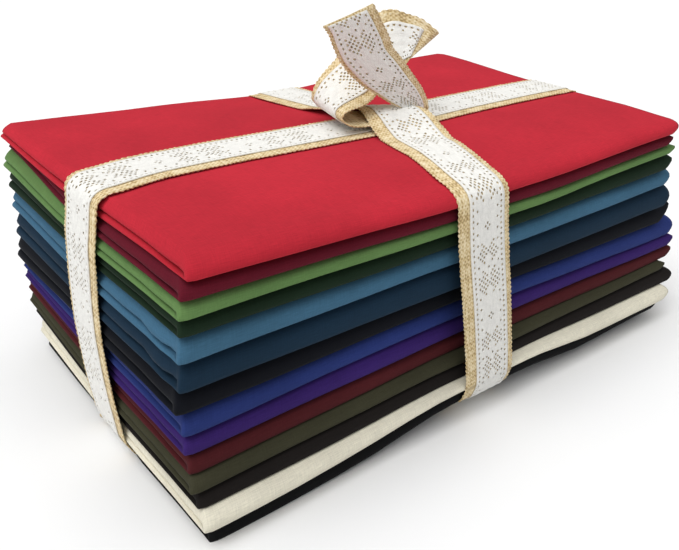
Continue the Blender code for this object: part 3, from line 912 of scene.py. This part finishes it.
# How many points each loop's path is averaged over.
LONG_WINDOW = 21
CROSS_WINDOW = 31
TOP_Z = 85


def long_loop(cloths):
    """The taut loop along the stack, as a strip."""
    verts = np.concatenate(list(cloths.values()))
    middle, reach = LONG_ROUND
    near = verts[np.abs(verts[:, 1] - middle) < reach]
    path = loop_round(near[:, [0, 2]])
    # Anticlockwise seen from the front is -X over the top, which is the way it runs.
    x, z = path[:, 0], path[:, 1]
    down = smooth(z, LONG_DRIFT_DOWN) * ramp(-x, 95, 112)
    over = smooth(x, LONG_DRIFT_OVER) * ramp(z, 86, 90)
    drift = rounded((down + over)[:, None], LONG_WINDOW, True)[:, 0]
    y = LONG_BAND_Y + drift
    places = np.stack([x, y, z], axis=1)
    across, normals = frames(places, np.array([[0.0, -1.0, 0.0]]), True)
    made = strip(places, across, normals)
    made["closed"] = True
    return made


def cross_loop(cloths):
    """The taut loop across the stack. It rides over the long one, with the crest of
    the rise slanting back to the left."""
    verts = np.concatenate(list(cloths.values()))
    middle, reach = CROSS_ROUND
    near = verts[np.abs(verts[:, 0] - middle) < reach]
    path = loop_round(near[:, [1, 2]])
    path = path[::-1]
    y, z = path[:, 0], path[:, 1]
    over = z > TOP_Z
    back = CROSS_BAND_X - CROSS_BACK_LEAN * ramp(z, 20, 80)
    x = np.where(over, smooth(y, CROSS_TOP), np.where(y < 0, smooth(z, CROSS_LEAN), back))
    x = rounded(np.stack([x, y, z], axis=1), CROSS_WINDOW, True)[:, 0]
    places = np.stack([x, y, z], axis=1)
    across, normals = frames(places, np.array([[-1.0, 0.0, 0.0]]), True)
    share = np.where(over, smooth(y, CROSS_SHARE), np.where(y < 0, CROSS_SHARE[0][1], 1.0))
    made = strip(places, across, normals, share)
    made["closed"] = True
    return made


def catmull(rows, step):
    """Evenly spaced points on a smooth curve through rows of any width. Spacing is
    measured midway between the first two triples."""
    rows = np.asarray(rows, float)
    ends = np.vstack([2 * rows[0] - rows[1], rows, 2 * rows[-1] - rows[-2]])
    dense = []
    for a, b, c, d in zip(ends, ends[1:], ends[2:], ends[3:]):
        for t in np.linspace(0, 1, 24, endpoint=False):
            square = 2 * b + (c - a) * t + (2 * a - 5 * b + 4 * c - d) * t**2
            dense.append(0.5 * (square + (3 * b - a - 3 * c + d) * t**3))
    dense.append(rows[-1])
    dense = np.array(dense)
    middle = (dense[:, :3] + dense[:, 3:6]) / 2
    length = np.concatenate([[0], np.cumsum(np.linalg.norm(np.diff(middle, axis=0), axis=1))])
    count = int(round(length[-1] / step))
    at = np.linspace(0, length[-1], count + 1)
    return np.stack([np.interp(at, length, column) for column in dense.T], axis=1)


# The two free ends, by the two edges of the ribbon in turn and how far it is cupped.
FRONT_END = (
    ((21.6, -15.4, 97.6), (10.0, -13.0, 98.4), 0.0),
    ((22.6, -13.9, 99.8), (9.8, -14.0, 99.8), 0.0),
    ((22.6, -12.8, 102.9), (4.8, -14.8, 102.4), -0.6),
    ((20.9, -12.2, 106.6), (-1.3, -15.2, 106.2), -1.0),
    ((16.4, -12.0, 112.2), (-8.3, -15.5, 110.6), -1.4),
    ((11.6, -12.0, 117.7), (-13.8, -15.5, 115.2), -1.6),
    ((6.5, -12.0, 122.5), (-19.4, -15.6, 120.8), -1.4),
    ((3.6, -12.0, 127.5), (-22.8, -15.6, 126.0), -1.0),
    ((-0.6, -12.2, 133.4), (-25.2, -15.5, 131.0), -0.8),
    ((-4.2, -12.0, 138.6), (-27.7, -15.5, 133.8), -0.6),
)
BACK_END = (
    ((3.8, -13.2, 96.3), (4.3, -4.2, 96.3), 0.0),
    ((-3.1, -14.6, 96.4), (0.3, 1.3, 96.6), 0.0),
    ((-9.7, -15.3, 96.6), (-4.8, 5.8, 97.2), 0.0),
    ((-15.6, -14.8, 97.7), (-10.1, 8.7, 98.5), 0.0),
    ((-18.6, -13.7, 100.1), (-13.7, 9.9, 100.5), 0.0),
    ((-17.8, -13.4, 101.9), (-14.6, 10.5, 102.4), 0.1),
    ((-15.4, -13.2, 102.6), (-13.4, 10.9, 105.1), 0.2),
    ((-11.4, -12.5, 102.8), (-10.6, 11.3, 108.4), 0.4),
    ((-6.1, -11.1, 103.0), (-5.6, 11.3, 112.4), 0.6),
    ((-1.8, -10.5, 104.3), (-1.1, 10.8, 116.2), 0.8),
    ((2.0, -10.6, 107.6), (3.0, 9.8, 120.9), 1.0),
    ((5.9, -10.8, 110.8), (7.0, 8.4, 126.2), 1.1),
    ((9.4, -10.4, 112.4), (11.9, 6.6, 130.2), 1.1),
    ((12.0, -9.7, 113.4), (17.9, 4.9, 131.8), 1.0),
    ((13.8, -9.3, 114.4), (24.3, 3.3, 130.1), 0.8),
    ((15.3, -9.0, 115.4), (30.8, 1.0, 127.8), 0.6),
    ((16.5, -8.8, 116.2), (36.8, -2.8, 122.7), 0.4),
)


def free_end(rows):
    """A strip between two edges. Its full width follows from how far they are apart."""
    flat = [(*a, *b, cup) for a, b, cup in rows]
    dense = catmull(flat, STEP)
    one, two, cup = dense[:, :3], dense[:, 3:6], dense[:, 6]
    places = (one + two) / 2
    gap = two - one
    wide = np.linalg.norm(gap, axis=1)
    way = np.gradient(places, axis=0)
    across = gap / wide[:, None]
    normals = np.cross(way, across)
    normals = normals / np.linalg.norm(normals, axis=1, keepdims=True)
    made = strip(places, across, normals, wide / (2 * RIBBON_HALF), cup)
    made["closed"] = False
    return made


def over_the_knot(points):
    """Lifts points of the cross loop where it rides over the knot."""
    x, y, z = points.T
    lift = smooth(y + HUMP_SLANT * (x - HUMP_X), HUMP) * ramp(z, 84.0, 88.0)
    points = points.copy()
    points[:, 2] += lift
    return points


def add_piece(name, parts, look, replaced):
    verts, faces, uvs = joined(parts)
    piece = new_mesh(name, verts, faces, uvs)
    piece.data.materials.append(look)
    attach(piece, "root")
    for each in replaced:
        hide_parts(each)
    return piece


def lifted(part, lift):
    points, faces, flat = part
    return (lift(points), faces, flat) if lift else part


def make_ribbon(cloths):
    jute, thread = burlap(), lace_thread()
    strips = {
        "long": (long_loop(cloths), None),
        "cross": (cross_loop(cloths), over_the_knot),
        "front_end": (free_end(FRONT_END), None),
        "back_end": (free_end(BACK_END), None),
    }
    widths = np.array([-1, -0.93, -0.75, -0.5, -0.25, 0, 0.25, 0.5, 0.75, 0.93, 1]) * RIBBON_HALF
    cloth_parts, edge_parts, total = [], [], 0.0
    for made, lift in strips.values():
        cloth_parts.append(lifted(strip_skin(made, widths, RIBBON_THICK, 0.0, 1.6), lift))
        for side in (-1, 1):
            edge_parts.append(lifted(picot_edge(made, side), lift))
        total += len(made["places"]) * STEP
    edging = add_piece("ribbon_picot_edge", edge_parts, jute, [])
    add_piece("ribbon_burlap_cloth", cloth_parts, jute, ["ribbon_burlap"])
    for name, (made, lift) in strips.items():
        half, shift, trim = LACES[name]
        part = lifted(lace_mesh(made, half, shift, trim), lift)
        add_piece("openwork_lace_" + name, [part], thread, ["lace_" + name])


def make_stage():
    made, tree, shader = material("floor")
    shader.inputs["Base Color"].default_value = (0.87, 0.87, 0.87, 1)
    shader.inputs["Roughness"].default_value = 0.9
    shader.inputs["Specular IOR Level"].default_value = 0.1
    grain = node(tree, "ShaderNodeTexNoise", Scale=300.0)
    relief = bumped(tree, grain.outputs["Fac"], 0.02, 0.0002)
    tree.links.new(relief, shader.inputs["Normal"])
    mesh = bpy.data.meshes.new("floor")
    far = FLOOR_HALF
    mesh.from_pydata(
        [(-far, -far, 0), (far, -far, 0), (far, far, 0), (-far, far, 0)], [], [(0, 1, 2, 3)])
    mesh.materials.append(made)
    floor = bpy.data.objects.new("floor", mesh)
    bpy.context.scene.collection.objects.link(floor)


def make_light():
    """A large soft light overhead, one above the left end and a weak one in front."""
    world = bpy.data.worlds.new("studio")
    world.use_nodes = True
    tree = world.node_tree
    background = tree.nodes["Background"]
    background.inputs["Color"].default_value = (1, 1, 1, 1)
    place = node(tree, "ShaderNodeTexCoord")

    def lobe(direction, power, strength):
        facing = node(tree, "ShaderNodeVectorMath", operation="DOT_PRODUCT")
        facing.inputs[1].default_value = Vector(direction).normalized()
        tree.links.new(place.outputs["Generated"], facing.inputs[0])
        lit = maths(tree, "MAXIMUM", facing.outputs["Value"], 0.0)
        return maths(tree, "MULTIPLY", maths(tree, "POWER", lit, power), strength)

    total = SKY_FLOOR
    for light in SKY:
        total = maths(tree, "ADD", lobe(*light), total)
    tree.links.new(total, background.inputs["Strength"])
    bpy.context.scene.world = world
    data = bpy.data.lights.new("key", "SUN")
    data.energy = KEY_STRENGTH
    data.angle = math.radians(KEY_ANGLE)
    key = bpy.data.objects.new("key", data)
    key.rotation_mode = "QUATERNION"
    key.rotation_quaternion = Vector(KEY_WAY).to_track_quat("-Z", "Y")
    bpy.context.scene.collection.objects.link(key)


def make_camera():
    place = (CAMERA_AT + RECENTRE) * MM
    east, north = math.sin(CAMERA_AZIMUTH), math.cos(CAMERA_AZIMUTH)
    level, fall = math.cos(CAMERA_ELEVATION), math.sin(CAMERA_ELEVATION)
    roll = CAMERA_ROLL
    forward = Vector((east * level, north * level, -fall))
    right = Vector((north, -east, 0))
    up = right.cross(forward)
    right_2 = math.cos(roll) * right + math.sin(roll) * up
    up_2 = -math.sin(roll) * right + math.cos(roll) * up
    camera_data = bpy.data.cameras.new("camera")
    camera_data.sensor_fit = "HORIZONTAL"
    camera_data.sensor_width = SENSOR_WIDTH
    camera_data.lens = FOCAL_PIXELS / PICTURE_WIDTH * SENSOR_WIDTH
    camera_data.clip_start, camera_data.clip_end = 0.01, 50
    camera = bpy.data.objects.new("camera", camera_data)
    matrix = Matrix((right_2, up_2, -forward)).transposed().to_4x4()
    matrix.translation = Vector(place)
    camera.matrix_world = matrix
    bpy.context.scene.collection.objects.link(camera)
    bpy.context.scene.camera = camera
    bpy.context.scene.view_settings.view_transform = "Standard"


make_camera()
make_light()
make_stage()
made_cloths = make_cloths()
make_ribbon(made_cloths)

bpy.context.view_layer.update()
